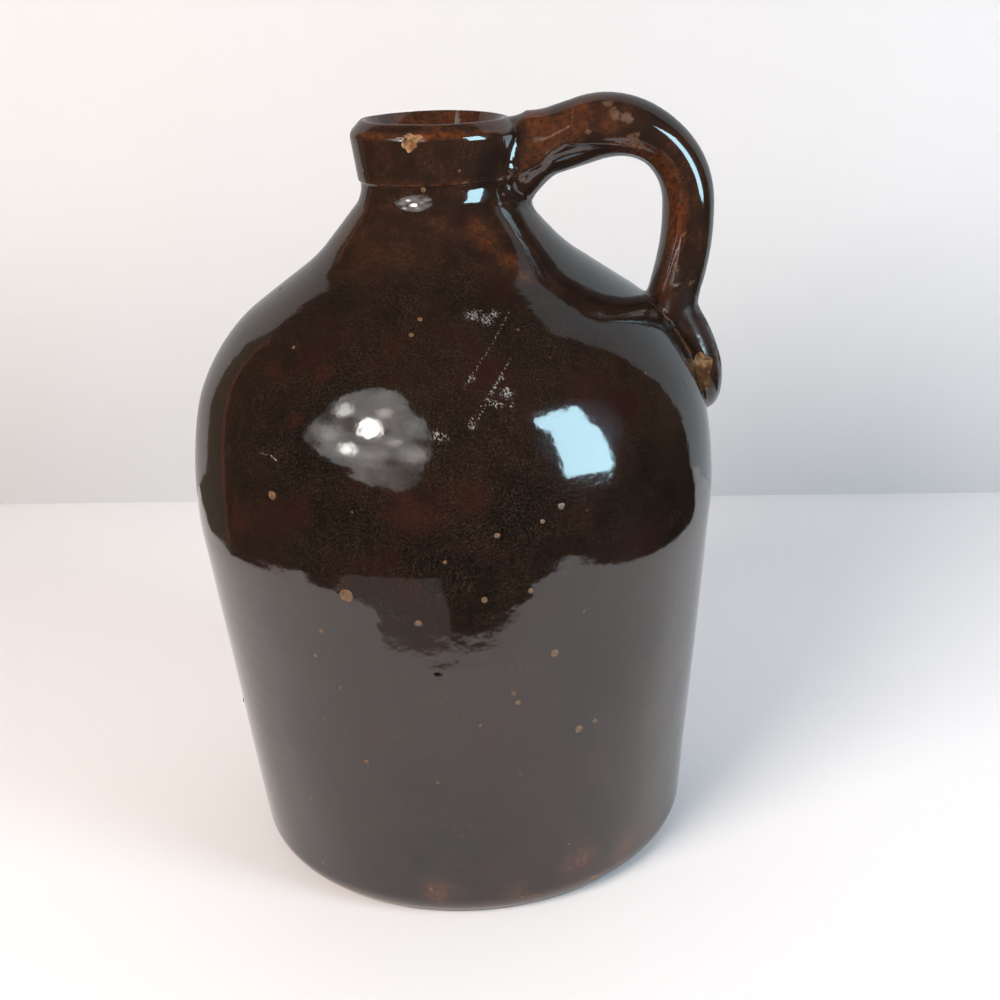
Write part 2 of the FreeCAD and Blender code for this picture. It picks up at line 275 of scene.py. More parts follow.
def strap_stations():
    """Centre, heading, depth and width of the strap from the collar to the shoulder."""
    slope = math.radians(CLIMB_ANGLE)
    start = NECK_MIDDLE + WALL / 8
    crown_x = CROWN_REACH - CROWN_ROUND
    climb_end = crown_x - CROWN_ROUND * math.sin(slope)
    climb_z = RIM - CLIMB_DROP
    root_z = RIM - ROOT_DEPTH / 2 - ROOT_SAG
    crown_z = climb_z + (climb_end - start) * math.tan(slope) - CROWN_ROUND * math.cos(slope)
    stations = []
    for step in range(CLIMB_STEPS + 1):
        share = step / CLIMB_STEPS
        swell = 1 - ease((share - 0.12) / 0.46)
        x = start + share * (climb_end - start)
        z = climb_z + (x - start) * math.tan(slope) - swell * (climb_z - root_z)
        depth = CLIMB_DEPTH + swell * (ROOT_DEPTH - CLIMB_DEPTH)
        width = STRAP_WIDTH + (ROOT_WIDTH - STRAP_WIDTH) * (1 - ease(share / 0.3))
        stations.append((x, z, share * CLIMB_ANGLE, depth, width))
    for step in range(1, CROWN_STEPS + 1):
        share = step / CROWN_STEPS
        heading = CLIMB_ANGLE - share * (90 + CLIMB_ANGLE)
        around = math.radians(heading + 90)
        x = crown_x + CROWN_ROUND * math.cos(around)
        z = crown_z + CROWN_ROUND * math.sin(around)
        depth = CLIMB_DEPTH + (STRAP_DEPTH - CLIMB_DEPTH) * ease(share / 0.6)
        stations.append((x, z, heading, depth, STRAP_WIDTH))
    for step in range(1, GRIP_STEPS + 1):
        turned = step / GRIP_STEPS * GRIP_TURN
        around = math.radians(turned)
        x = CROWN_REACH - GRIP_ROUND * (1 - math.cos(around))
        z = crown_z - GRIP_ROUND * math.sin(around)
        stations.append((x, z, -90 - turned, STRAP_DEPTH, STRAP_WIDTH))
    return stations


def outside_radius(tree, height):
    """Radius of the outside at a height, on the handle's side."""
    return tree.ray_cast(Vector((CLEAR, 0, height)), Vector((-1, 0, 0)))[0].x


def skin_at(body, height):
    """Radius of the outside at a height on the handle's side, and the slope of its skin."""
    tree = BVHTree.FromBMesh(body)
    growth = outside_radius(tree, height + 1) - outside_radius(tree, height - 1)
    return outside_radius(tree, height), math.atan2(2.0, growth) - math.pi


def pulled(stations):
    """Clay stretched through oval sections, closed at both ends."""
    bm = bmesh.new()
    ring = bmesh.ops.create_circle(bm, cap_ends=True, segments=STRAP_SIDES, radius=1)["verts"]
    edges = [edge for edge in bm.edges if all(v in ring for v in edge.verts)]
    placed = Matrix.Identity(4)
    for number, (x, z, heading, depth, width) in enumerate(stations):
        angle = math.radians(heading)
        along = Vector((math.cos(angle), 0, math.sin(angle)))
        outward = Vector((-math.sin(angle), 0, math.cos(angle)))
        place = Matrix.Identity(4)
        place.col[0] = (*(outward * depth / 2), 0)
        place.col[1] = (0, width / 2, 0, 0)
        place.col[2] = (*along, 0)
        place.col[3] = (x, 0, z, 1)
        if number:
            made = bmesh.ops.extrude_edge_only(bm, edges=edges)["geom"]
            ring = [item for item in made if isinstance(item, bmesh.types.BMVert)]
            edges = [item for item in made if isinstance(item, bmesh.types.BMEdge)]
            edges = [edge for edge in edges if all(v in ring for v in edge.verts)]
        bmesh.ops.transform(bm, matrix=place @ placed.inverted(), verts=ring)
        placed = place
    bmesh.ops.holes_fill(bm, edges=edges, sides=0)
    bmesh.ops.recalc_face_normals(bm, faces=bm.faces)
    return bm


def strap(body):
    """The strap from inside the collar's wall to inside the shoulder's."""
    stations = strap_stations()
    x, z, heading, depth, width = stations[-1]
    along = Vector((math.cos(math.radians(heading)), 0, math.sin(math.radians(heading))))
    foot = BVHTree.FromBMesh(body).ray_cast(Vector((x, 0, z)), along)[0]
    run = foot - Vector((x, 0, z)) + along * WALL / 8
    for step in range(1, FOOT_STEPS + 1):
        spot = Vector((x, 0, z)) + run * step / FOOT_STEPS
        stations.append((spot.x, spot.z, heading, depth, width))
    return pulled(stations), foot.z


def tail(body, top):
    """The tail pressed along the shoulder, thinned to a rounded end."""
    rooted = 0.7 * WALL
    widest = 0.35
    beyond = 1.02  # the last rings sink into the shoulder
    stations = []
    for step in range(TAIL_STEPS + 1):
        share = math.sin(step / TAIL_STEPS * math.pi / 2) * beyond
        z = top - share * TAIL_DROP
        x, heading = skin_at(body, z)
        left = max(0.0, 1 - share ** 3)
        proud = TAIL_HEIGHT * math.sqrt(left) + PINCH_HEIGHT * max(0.0, 1 - share) ** 3
        proud -= 1.0 if share > 1 else 0.0
        spread = max(0.04, 1 - ((share - widest) / (1 - widest)) ** 2)
        out = (proud - rooted) / 2
        x, z = x - out * math.sin(heading), z + out * math.cos(heading)
        stations.append((x, z, math.degrees(heading), proud + rooted, TAIL_WIDTH * math.sqrt(spread)))
    return pulled(stations)


def as_object(bm, name, *looks):
    """An object from a finished bmesh, with its materials."""
    mesh = bpy.data.meshes.new(name)
    bm.to_mesh(mesh)
    bm.free()
    for look in looks:
        mesh.materials.append(look)
    made = bpy.data.objects.new(name, mesh)
    bpy.context.scene.collection.objects.link(made)
    return made


def in_order(parts):
    """Parts of a mesh in the order of their numbers."""
    return sorted(parts, key=lambda part: part.index)


def put_in_order(mesh):
    """Points, edges and faces numbered by their places, so that each run gives the same jug."""
    bm = bmesh.new()
    bm.from_mesh(mesh)
    ranks = {point: rank for rank, point in enumerate(sorted(bm.verts, key=lambda v: tuple(v.co)))}
    bm.verts.sort(key=lambda point: ranks[point])
    for parts in (bm.edges, bm.faces):
        spots = {part: sorted(ranks[point] for point in part.verts) for part in parts}
        numbers = {part: rank for rank, part in enumerate(sorted(parts, key=lambda part: spots[part]))}
        parts.sort(key=lambda part: numbers[part])
    bm.to_mesh(mesh)
    bm.free()


def combine(target, tool, operation):
    """One boolean of two closed shells, applied, with the tool taken away."""
    change = target.modifiers.new(operation, "BOOLEAN")
    change.operation = operation
    change.solver = "EXACT"
    change.object = tool
    graph = bpy.context.evaluated_depsgraph_get()
    mesh = bpy.data.meshes.new_from_object(target.evaluated_get(graph))
    target.modifiers.clear()
    put_in_order(mesh)
    target.data = mesh
    bpy.data.objects.remove(tool)


def soften_joints(bm):
    """The slip that fills the joints between handle and body."""
    bmesh.ops.remove_doubles(bm, verts=bm.verts, dist=JOINT_MERGE)
    bmesh.ops.triangulate(bm, faces=[face for face in bm.faces if len(face.verts) > 4])
    joint = set()
    for edge in bm.edges:
        if len(edge.link_faces) == 2 and edge.calc_face_angle_signed() < -JOINT_FOLD:
            middle = (edge.verts[0].co + edge.verts[1].co) / 2
            outside = middle.xy.length > NECK_MIDDLE + 1
            if outside and middle.x > JOINT_REACH and middle.z > JOINT_HEIGHT:
                joint.update(edge.verts)
    for _ in range(JOINT_GROWTH):
        joint.update([edge.other_vert(v) for v in list(joint) for edge in v.link_edges])
    bm.verts.index_update()
    joint = in_order(joint)
    pocket = [
        point for point in joint
        if point.co.x < POCKET_REACH and POCKET_LOW < point.co.z < POCKET_HIGH
    ]
    for points, times in ((joint, JOINT_PASSES), (pocket, POCKET_PASSES)):
        for _ in range(times):
            bmesh.ops.smooth_vert(
                bm, verts=points, factor=0.5, use_axis_x=True, use_axis_y=True, use_axis_z=True
            )


def warp(bm):
    """The small unevenness of hand-thrown clay, and the rim's slight tilt."""
    for point in bm.verts:
        place = point.co
        radius = place.xy.length
        tilted = ease((place.z - COLLAR_FOOT[1]) / (RIM - COLLAR_FOOT[1]))
        tilted *= ease((TILT_END - place.x) / TILT_FADE)
        if radius < COLLAR_TOP[0] + 1:
            place.z += math.tan(RIM_TILT) * place.x * tilted
            wave = noise.noise(Vector((place.x, place.y, 0)) / RIM_WAVER_LENGTH)
            place.z += RIM_WAVER * wave * tilted
        if radius > 1 and place.z > 0.5:
            standing = ease(place.z / STEADY_FOOT)
            stray = noise.noise(place / WAVER_LENGTH) * WAVER
            stray += noise.noise(place / FINE_WAVER_LENGTH) * FINE_WAVER
            drift = noise.noise(place / RIPPLE_DRIFT_LENGTH) * RIPPLE_DRIFT
            stray += RIPPLE * math.sin(place.z / RIPPLE_LENGTH * math.tau + drift)
            place.xy *= 1 + stray * standing / max(radius, 30)


def skin_point(tree, bearing, height):
    """The point of the outside at a bearing and a height, and the way its skin faces."""
    turn = math.radians(bearing)
    outward = Vector((math.sin(turn), -math.cos(turn), 0))
    spot, facing, _, _ = tree.ray_cast(Vector((0, 0, height)) + outward * CLEAR, -outward)
    return spot, facing


def skin_near(tree, place):
    """The nearest point of the skin, and the way it faces."""
    spot, facing, _, _ = tree.find_nearest(Vector(place))
    return spot, facing


def along_path(points, step):
    """Points every step along a bent line."""
    spots = []
    for one, two in zip(points, points[1:]):
        one, two = Vector(one), Vector(two)
        count = max(1, round((two - one).length / step))
        spots += [one.lerp(two, number / count) for number in range(count)]
    return spots + [Vector(points[-1])]


def spots_along(skin, points, step, radius):
    """Spots of one radius every step along a bent line laid on the skin."""
    return [(skin_near(skin, spot)[0], radius) for spot in along_path(points, step)]


def drop_folded(bm):
    """Slivers folded flat, two faces on the same points, are taken out."""
    same = {}
    for face in bm.faces:
        same.setdefault(frozenset(face.verts), []).append(face)
    folded = [face for faces in same.values() if len(faces) > 1 for face in faces]
    bmesh.ops.delete(bm, geom=folded, context="FACES")


def refine(bm, spots):
    """Finer faces round each spot, a point and a radius."""
    tree = KDTree(len(bm.faces))
    bm.faces.ensure_lookup_table()
    for face in bm.faces:
        tree.insert(face.calc_center_median(), face.index)
    tree.balance()
    bm.edges.index_update()
    edges = set()
    for spot, radius in spots:
        for _, number, _ in tree.find_range(spot, radius + FINE_MARGIN):
            edges.update(edge for edge in bm.faces[number].edges if edge.calc_length() > FINE_EDGE)
    bmesh.ops.subdivide_edges(bm, edges=in_order(edges), cuts=FINE, use_grid_fill=True)
    bmesh.ops.triangulate(bm, faces=[face for face in bm.faces if len(face.verts) > 4])
    bmesh.ops.dissolve_degenerate(bm, dist=SLIVER, edges=bm.edges)
    drop_folded(bm)


def chip(jug, spot, facing, standing, size, seed):
    """A broken place: a rough lump is taken out of the clay, and bare clay is left."""
    bm = bmesh.new()
    bmesh.ops.create_icosphere(bm, subdivisions=5, radius=1)
    for point in bm.verts:
        lump = 0.45 * noise.noise(point.co * 1.5 + Vector((seed, 0, 0)))
        lump += 0.2 * noise.noise(point.co * 3.5 + Vector((seed, 9, 0)))
        lump += 0.07 * noise.noise(point.co * 11 + Vector((0, seed, 0)))
        point.co *= 1 + lump
        point.co.x *= 0.75 + 0.25 * point.co.z  # narrower at its foot
    turn = facing.to_track_quat("Y", "Z").to_matrix().to_4x4()
    bmesh.ops.scale(bm, vec=size, verts=bm.verts)
    bmesh.ops.transform(bm, matrix=Matrix.Translation(spot + facing * standing) @ turn, verts=bm.verts)
    for face in bm.faces:
        face.material_index = 1
    combine(jug, as_object(bm, "lump", *jug.data.materials), "DIFFERENCE")


def break_chips(jug):
    """The knocks on the rim, the foot and the handle's tail."""
    bm = bmesh.new()
    bm.from_mesh(jug.data)
    skin = BVHTree.FromBMesh(bm)
    knocks = []
    for bearing, height, standing, size in (RIM_CHIP, FOOT_CHIP):
        knocks.append((*skin_point(skin, bearing, height), standing, size))
    for place, standing, size in (TAIL_CHIP, TAIL_HOLE):
        knocks.append((*skin_near(skin, place), standing, size))
    refine(bm, [(spot, max(size)) for spot, facing, standing, size in knocks])
    bm.to_mesh(jug.data)
    bm.free()
    for number, (spot, facing, standing, size) in enumerate(knocks):
        chip(jug, spot, facing, standing, size, number * 3.7)


def paint_clouds(bm, near, layer, spots, most):
    """Paint soft clouds that thin out evenly from their middle."""
    for spot, radius in spots:
        reach = radius * CLOUD_REACH
        for _, number, distance in near.find_range(spot, reach):
            point = bm.verts[number]
            point[layer] = max(point[layer], most * (1 - distance / reach))


def paint_spots(bm, near, layer, spots, raised=0.0, skin=None):
    """Paint round spots, strongest in the middle, and raise or sink them by their height."""
    for spot, radius in spots:
        facing = skin.find_nearest(spot)[1] if skin else None
        for _, number, distance in near.find_range(spot, radius * SPOT_REACH):
            point = bm.verts[number]
            share = ease(SPOT_REACH - distance / radius)
            point[layer] = max(point[layer], share)
            if skin:
                point.co += facing * raised * min(radius, DOME) * ease(1 - distance / radius)


def paint(bm, body_skin):
    """The marks of throwing, glazing, firing and use as named weights on the skin, with painted shade in
    the tail's hole and painted light on the handle's top.
    """
    skin = BVHTree.FromBMesh(bm)
    groups = {}
    for name, marks in (
        ("clay", BLISTERS), ("pit_and_hole_shade", PITS), ("stain", RED_STAINS), ("amber", RUST_PATCHES),
        ("scuff", SCUFFS),
    ):
        groups[name] = [
            (skin_point(skin, bearing, height)[0], width / 2) for bearing, height, width in marks
        ]
    flakes = [(skin_near(skin, mark[:3])[0], mark[3] / 2) for mark in HANDLE_FLAKES]
    dusty = [(Vector(mark[:3]), mark[3] / 2) for mark in DULL_CLAY]
    lines = []
    for crease in (HANDLE_CREASE, TAIL_CREASE):
        lines += spots_along(skin, crease, PATH_STEP, LINE_WIDTH)
    ribs = []
    for chain, step, width in (
        (FOLD, RIB_STEP, RIB_WIDTH), (RIB, RIB_STEP, RIB_WIDTH), (SPLINTER, PATH_STEP, RIB_WIDTH * 0.7),
    ):
        ribs += spots_along(skin, chain, step, width)
    scratches = []
    for chain in SCRATCHES:
        bends = [skin_point(skin, bearing, height)[0] for bearing, height in chain]
        scratches += spots_along(skin, bends, SCRATCH_STEP, SCRATCH_WIDTH)
    refine(bm, groups["clay"] + groups["pit_and_hole_shade"] + flakes + lines + ribs + scratches)
    bm.verts.ensure_lookup_table()
    near = KDTree(len(bm.verts))
    for point in bm.verts:
        near.insert(point.co, point.index)
    near.balance()
    names = ("clay", "flake", "pit_and_hole_shade", "stain", "amber", "scuff", "dull")
    layers = {name: bm.verts.layers.float.new(name) for name in names}
    for name, rise in (("clay", BLISTER_RISE), ("pit_and_hole_shade", PIT_SINK)):
        paint_spots(bm, near, layers[name], groups[name], rise, skin)
    for name, spots, strongest in (
        ("stain", groups["stain"], 0.55),
        ("amber", groups["amber"], 0.36),
        ("scuff", groups["scuff"], 0.55),
        ("scuff", scratches, 0.6),
        ("flake", flakes, 0.85),
        ("dull", dusty, 1.0),
        # Painted shade: the tail's hole is darkened through the pit weight.
        ("pit_and_hole_shade", [(Vector(TAIL_HOLE[0]), TAIL_SHADOW)], 1.6),
    ):
        paint_clouds(bm, near, layers[name], spots, strongest)
    paint_spots(bm, near, layers["flake"], lines)
    raised = {}
    for spot, radius in ribs:
        facing = skin.find_nearest(spot)[1]
        for _, number, distance in near.find_range(spot, radius):
            lift = facing * GLAZE_RIB * ease(1 - distance / radius)
            if lift.length > raised.get(number, Vector()).length:
                raised[number] = lift
    for number, lift in raised.items():
        bm.verts[number].co += lift
    paint_thin_glaze(bm, layers, body_skin)


def paint_thin_glaze(bm, layers, body_skin):
    """Amber where the glaze ran thin: the rim's edge, the collar's ring and the handle; on the handle's
    climb its upward side gets more, as painted light on a lit top.
    """
    amber, clay = layers["amber"], layers["clay"]
    for point in bm.verts:
        place = point.co
        facing = point.normal
        radius = place.xy.length
        bearing = math.degrees(math.atan2(place.x, -place.y))
        weight = 0.0
        if 20.5 < radius < 24.5 and place.z > 195 and place.x < 24:
            ring = max(0.0, 1 - abs(place.z - RING_HEIGHT) / RING_REACH)
            bevel = max(0.0, 1 - abs(place.z - BEVEL_HEIGHT) / BEVEL_REACH)
            strong = 0.4 + 0.45 * ease((bearing + 25) / 20) * ease((24 - bearing) / 8)
            weight = max(0.33 * ring, bevel * strong, 0.1)
        elif radius < 21 and place.z > 200:
            weight = 0.3
        elif place.z > 172:
            weight = 0.14 * ease((place.z - 172) / 14)
        if place.x > 21 and place.z > 125:
            height_over = (body_skin.find_nearest(place)[0] - place).length
            on_handle = ease((height_over - 0.8) / 3)
            inward = (GAP_MIDDLE - place).normalized().dot(facing)
            front = ease((0.5 - facing.y) / 0.9)
            climbing = ease((56 - place.x) / 14) * ease((place.z - 186) / 8)
            # Painted light: on the climb the upward side is made more amber, as its lit top.
            lit_top = 0.36 * ease((facing.z + 0.35) / 0.4)
            inside = 0.6 * ease((inward + 0.2) / 0.5) * ease((0.97 - inward) / 0.3)
            share = front * (climbing * lit_top + (1 - climbing) * inside)
            low = 1 - 0.5 * ease((184 - place.z) / 12)
            weight = max(weight, on_handle * max(0.12, share * low))
        if place.z < 0.35 and radius < BASE[0] + 0.8 and facing.z < -0.5:
            point[clay] = 1.0
        if place.z < 6 and facing.z < 0.2:
            weight = max(weight, 0.25 + 0.2 * noise.noise(place / 9))
        point[amber] = max(point[amber], weight)


def build_jug(materials):
    """The whole jug as one closed mesh, in metres."""
    body = thrown_body()
    body_skin = BVHTree.FromBMesh(body)
    strap_mesh, foot = strap(body)
    tail_mesh = tail(body, foot)
    jug = as_object(body, "stoneware_jug", *materials)
    combine(jug, as_object(strap_mesh, "strap"), "UNION")
    combine(jug, as_object(tail_mesh, "tail"), "UNION")
    bm = bmesh.new()
    bm.from_mesh(jug.data)
    soften_joints(bm)
    warp(bm)
    bm.to_mesh(jug.data)
    bm.free()
    break_chips(jug)
    bm = bmesh.new()
    bm.from_mesh(jug.data)
    bmesh.ops.remove_doubles(bm, verts=bm.verts, dist=CHIP_MERGE)
    bm.normal_update()
    paint(bm, body_skin)
    bmesh.ops.scale(bm, vec=(MM, MM, MM), verts=bm.verts)
    for face in bm.faces:
        face.smooth = True
    bm.to_mesh(jug.data)
    bm.free()
    jug.data.set_sharp_from_angle(angle=math.radians(SHARP_ANGLE))
    return jug


def colour(code):
    """Linear colour from an sRGB hex value."""
    parts = [int(code[i:i + 2], 16) / 255 for i in (1, 3, 5)]
    return [*(c / 12.92 if c <= 0.04045 else ((c + 0.055) / 1.055) ** 2.4 for c in parts), 1.0]


def add_node(tree, kind, links=None, **settings):
    """A node with its settings; a key of links is an input, a value the output it takes."""
    node = tree.nodes.new(kind)
    inputs = settings.pop("inputs", {})
    for key, value in settings.items():
        setattr(node, key, value)
    for key, value in inputs.items():
        node.inputs[key].default_value = value
    for key, output in (links or {}).items():
        tree.links.new(output, node.inputs[key])
    return node


def new_material(name):
    """An empty node material, and its tree."""
    material = bpy.data.materials.new(name)
    material.use_nodes = True
    material.node_tree.nodes.clear()
    return material, material.node_tree


def painted(tree, name):
    """A weight painted on the skin."""
    return add_node(tree, "ShaderNodeAttribute", attribute_name=name).outputs["Fac"]


def broken_edge(tree, weight, pattern, spread, soft):
    """A painted weight with its edge broken up by a pattern."""
    mixed = add_node(
        tree, "ShaderNodeMath", {0: pattern, 2: weight}, operation="MULTIPLY_ADD", inputs={1: spread}
    ).outputs[0]
    middle = 0.5 + spread / 2
    ragged = add_node(
        tree, "ShaderNodeMapRange", {"Value": mixed}, interpolation_type="SMOOTHSTEP",
        inputs={"From Min": middle - soft, "From Max": middle + soft},
    ).outputs["Result"]
    only_there = spread_out(tree, weight, 0.02, 0.3)
    return add_node(tree, "ShaderNodeMath", {0: ragged, 1: only_there}, operation="MULTIPLY").outputs[0]


def clouds(tree, place, size, detail=2.0, roughness=0.55):
    """Noise whose patches are about that many millimetres across."""
    return add_node(
        tree, "ShaderNodeTexNoise", {"Vector": place},
        inputs={"Scale": 0.5 / (size * MM), "Detail": detail, "Roughness": roughness},
    ).outputs["Fac"]


def spread_out(tree, value, low, high):
    """A value stretched so that low and high become 0 and 1."""
    return add_node(
        tree, "ShaderNodeMapRange", {"Value": value}, inputs={"From Min": low, "From Max": high}
    ).outputs["Result"]


def slip_glaze():
    """Iron-brown slip glaze on thrown stoneware, dipped and fired to a wet gloss: nearly
    black where it lies thick, amber where it ran thin, with blisters, pinholes and scuffs,
    painted light on the handle's lit top and painted shade round the tail's hole."""
    material, tree = new_material("slip_glaze_on_thrown_stoneware")
    place = add_node(tree, "ShaderNodeTexCoord").outputs["Object"]
    wide = clouds(tree, place, 22.0, 3.0)
    small = clouds(tree, place, 4.0, 3.0, 0.6)
    grit = clouds(tree, place, 0.7, 2.0, 0.6)
    grain = clouds(tree, place, 0.18, 0.0)
    peel = clouds(tree, place, 1.5, 1.0)
    ragged = clouds(tree, place, 1.6, 3.0, 0.65)
    speckled = clouds(tree, place, 0.9, 3.0, 0.6)

    # Thick glaze: brown-black with faint olive and wine clouds and a fine fleck.
    tone = add_node(
        tree, "ShaderNodeMix", {"Factor": spread_out(tree, wide, 0.35, 0.65)}, data_type="RGBA",
        inputs={6: colour("#0c0a07"), 7: colour("#20150f")},
    ).outputs[2]
    fine, clumped = spread_out(tree, grain, 0.4, 0.8), spread_out(tree, small, 0.1, 0.7)
    fleck = add_node(tree, "ShaderNodeMath", {0: fine, 1: clumped}, operation="MULTIPLY").outputs[0]
    tone = add_node(
        tree, "ShaderNodeMix", {"Factor": fleck, 6: tone}, data_type="RGBA", inputs={7: colour("#3a2c23")}
    ).outputs[2]

    wine = spread_out(tree, clouds(tree, place, 11.0, 3.0, 0.6), 0.52, 0.74)
    tone = layered(tree, tone, wine, colour("#281411"))

    # Scuffs run slantwise over the front, so their pattern is turned and drawn out.
    slant = add_node(
        tree, "ShaderNodeMapping", {"Vector": place},
        inputs={"Rotation": (0, math.radians(-38), 0), "Scale": (1.0, 1.0, 0.22)},
    ).outputs["Vector"]
    scratch = spread_out(tree, clouds(tree, slant, 0.2, 2.0), 0.3, 0.7)

    stain = broken_edge(tree, painted(tree, "stain"), small, 1.4, 0.7)
    amber = broken_edge(tree, painted(tree, "amber"), small, 1.3, 0.6)
    flake = broken_edge(tree, painted(tree, "flake"), speckled, 1.9, 0.25)
    thin = spread_out(tree, painted(tree, "amber"), 0.0, 0.4)
    round_clay = broken_edge(tree, painted(tree, "clay"), grit, 0.5, 0.2)
    bare = add_node(tree, "ShaderNodeMath", {0: round_clay, 1: flake}, operation="MAXIMUM").outputs[0]
    # A darker ring round each blister.
    dark_ring = spread_out(tree, painted(tree, "clay"), 0.05, 0.5)
    # Pinholes, and painted shade round the tail's hole.
    pit_and_hole_shade = broken_edge(tree, painted(tree, "pit_and_hole_shade"), grit, 0.3, 0.15)
    scuff = broken_edge(tree, painted(tree, "scuff"), scratch, 1.5, 0.12)
    # A few small rust dots.
    speck = add_node(tree, "ShaderNodeTexVoronoi", {"Vector": place}, inputs={"Scale": 1 / (6.5 * MM)})
    chosen = add_node(tree, "ShaderNodeSeparateColor", {"Color": speck.outputs["Color"]}).outputs[0]
    small_dot = spread_out(tree, speck.outputs["Distance"], 0.085, 0.04)
    few = spread_out(tree, chosen, 0.72, 0.8)
    dots = add_node(tree, "ShaderNodeMath", {0: small_dot, 1: few}, operation="MULTIPLY").outputs[0]
    mottled = []
    for pattern, low, high, dark, light in (
        (small, 0.35, 0.65, "#291d18", "#3d2920"),
        (grit, 0.35, 0.65, "#3d1e0f", "#6c3a1b"),
        (grit, 0.3, 0.7, "#4a2e1a", "#755431"),
    ):
        mix = add_node(
            tree, "ShaderNodeMix", {"Factor": spread_out(tree, pattern, low, high)}, data_type="RGBA",
            inputs={6: colour(dark), 7: colour(light)},
        )
        mottled.append(mix.outputs[2])
    thin_tone, amber_tone, clay_tone = mottled
    for mask, tint in (
        (thin, thin_tone),
        (stain, colour("#321a14")),
        (amber, amber_tone),
        (dots, colour("#704a33")),
        (dark_ring, colour("#170d08")),
        (round_clay, clay_tone),
        (flake, colour("#553416")),
        (pit_and_hole_shade, colour("#0b0705")),
        (scuff, colour("#7c7770")),
    ):
        tone = layered(tree, tone, mask, tint)

    worn = add_node(tree, "ShaderNodeMath", {0: bare, 1: scuff}, operation="MAXIMUM").outputs[0]
    dulled = add_node(
        tree, "ShaderNodeMath", {0: painted(tree, "dull"), 1: spread_out(tree, ragged, 0.2, 0.6)},
        operation="MULTIPLY",
    ).outputs[0]
    worn = add_node(
        tree, "ShaderNodeMath", {0: dulled, 2: worn}, operation="MULTIPLY_ADD", inputs={1: 0.9}
    ).outputs[0]
    gloss = add_node(
        tree, "ShaderNodeMapRange", {"Value": worn}, inputs={"To Min": 0.075, "To Max": 0.6}
    ).outputs["Result"]
    height = add_node(
        tree, "ShaderNodeMath", {0: grit, 2: peel}, operation="MULTIPLY_ADD", inputs={1: 0.25}
    ).outputs[0]
    bump = add_node(
        tree, "ShaderNodeBump", {"Height": height}, inputs={"Strength": 1.0, "Distance": 0.03 * MM}
    )
    dusty = add_node(
        tree, "ShaderNodeMapRange", {"Value": dulled},
        inputs={"From Max": 0.5, "To Min": 0.5, "To Max": 0.1},
    ).outputs["Result"]
    facing = bump.outputs["Normal"]
    shader = add_node(
        tree, "ShaderNodeBsdfPrincipled",
        {"Base Color": tone, "Roughness": gloss, "Normal": facing, "Specular IOR Level": dusty},
        inputs={"IOR": 1.66},
    )
    out = add_node(tree, "ShaderNodeOutputMaterial")
    tree.links.new(shader.outputs["BSDF"], out.inputs["Surface"])
    return material


def layered(tree, under, mask, tint):
    """One colour laid over another where the mask is."""
    links = {"Factor": mask, 6: under}
    inputs = {}
    if isinstance(tint, list):
        inputs[7] = tint
    else:
        links[7] = tint
    return add_node(tree, "ShaderNodeMix", links, data_type="RGBA", inputs=inputs).outputs[2]


def bare_stoneware():
    """Fired stoneware clay laid bare by a chip: dry, sandy and tan, darker in its hollows, which is
    painted shade in the tail's hole.
    """
    material, tree = new_material("bare_fired_stoneware")
    place = add_node(tree, "ShaderNodeTexCoord").outputs["Object"]
    sand = clouds(tree, place, 0.6, 3.0, 0.65)
    patch = clouds(tree, place, 2.2, 2.0)
    tone = add_node(
        tree, "ShaderNodeMix", {"Factor": spread_out(tree, patch, 0.35, 0.65)}, data_type="RGBA",
        inputs={6: colour("#6a4527"), 7: colour("#a47f55")},
    ).outputs[2]
    tone = layered(tree, tone, spread_out(tree, sand, 0.56, 0.7), colour("#4a2a18"))
    # Painted shade in the tail's hole.
    tone = layered(tree, tone, painted(tree, "pit_and_hole_shade"), colour("#15100b"))
    bump = add_node(
        tree, "ShaderNodeBump", {"Height": sand}, inputs={"Strength": 1.0, "Distance": 0.35 * MM}
    )
    shader = add_node(
        tree, "ShaderNodeBsdfPrincipled", {"Base Color": tone, "Normal": bump.outputs["Normal"]},
        inputs={"Roughness": 0.8, "IOR": 1.5},
    )
    out = add_node(tree, "ShaderNodeOutputMaterial")
    tree.links.new(shader.outputs["BSDF"], out.inputs["Surface"])
    return material


# The stage, in metres: a pale sheet, a pale board behind it, and a dark room in front.
FLOOR_HALF = 2.0
WALL_BACK = 0.274
WALL_TURN = 0.14  # how much nearer the board stands for each metre to the right
# Outline of the part of the floor that shines in the glaze, seen from above.
SHEET = (
    (-0.280, 0.12), (-0.273, 0.08), (-0.280, 0.02), (-0.288, -0.08), (-0.287, -0.135), (-0.259, -0.145),
    (-0.20, -0.163), (-0.16, -0.171), (-0.114, -0.180), (-0.099, -0.168), (-0.02, -0.186), (0.035, -0.188),
    (0.07, -0.194), (0.10, -0.201), (0.11, -0.233), (0.158, -0.243), (0.214, -0.248), (0.23, -0.16),
    (0.256, -0.08), (0.267, 0.05), (0.272, 0.135), (0.337, 0.182), (0.44, 0.212), (-0.255, 0.31),
    (-0.255, 0.18),
)
# Floor in the shade of what stands on it, beyond the sheet.
SHADE = (
    (-0.20, -0.164), (-0.16, -0.172), (-0.114, -0.181), (-0.099, -0.169), (-0.02, -0.187), (-0.03, -0.25),
    (-0.044, -0.31), (-0.125, -0.297), (-0.213, -0.229),
)
# Outline of the board, seen from the front.
BOARD = (
    (-0.42, 0.0), (-0.42, 0.09), (-0.39, 0.14), (-0.36, 0.22), (-0.33, 0.34), (-0.31, 0.44), (-0.33, 0.57),
    (-0.37, 0.69), (-0.42, 0.85), (0.75, 0.95), (0.70, 0.44), (0.56, 0.15), (0.47, 0.04), (0.44, 0.0),
)
SHEET_LIFT = 0.0004
ROOM_MIDDLE = Vector((0, 0, 0.14))


def only_mirrored(piece):
    """A stage piece that shows in the glaze and nowhere else."""
    piece.visible_camera = False
    piece.visible_diffuse = False
    piece.visible_transmission = False
    piece.visible_shadow = False


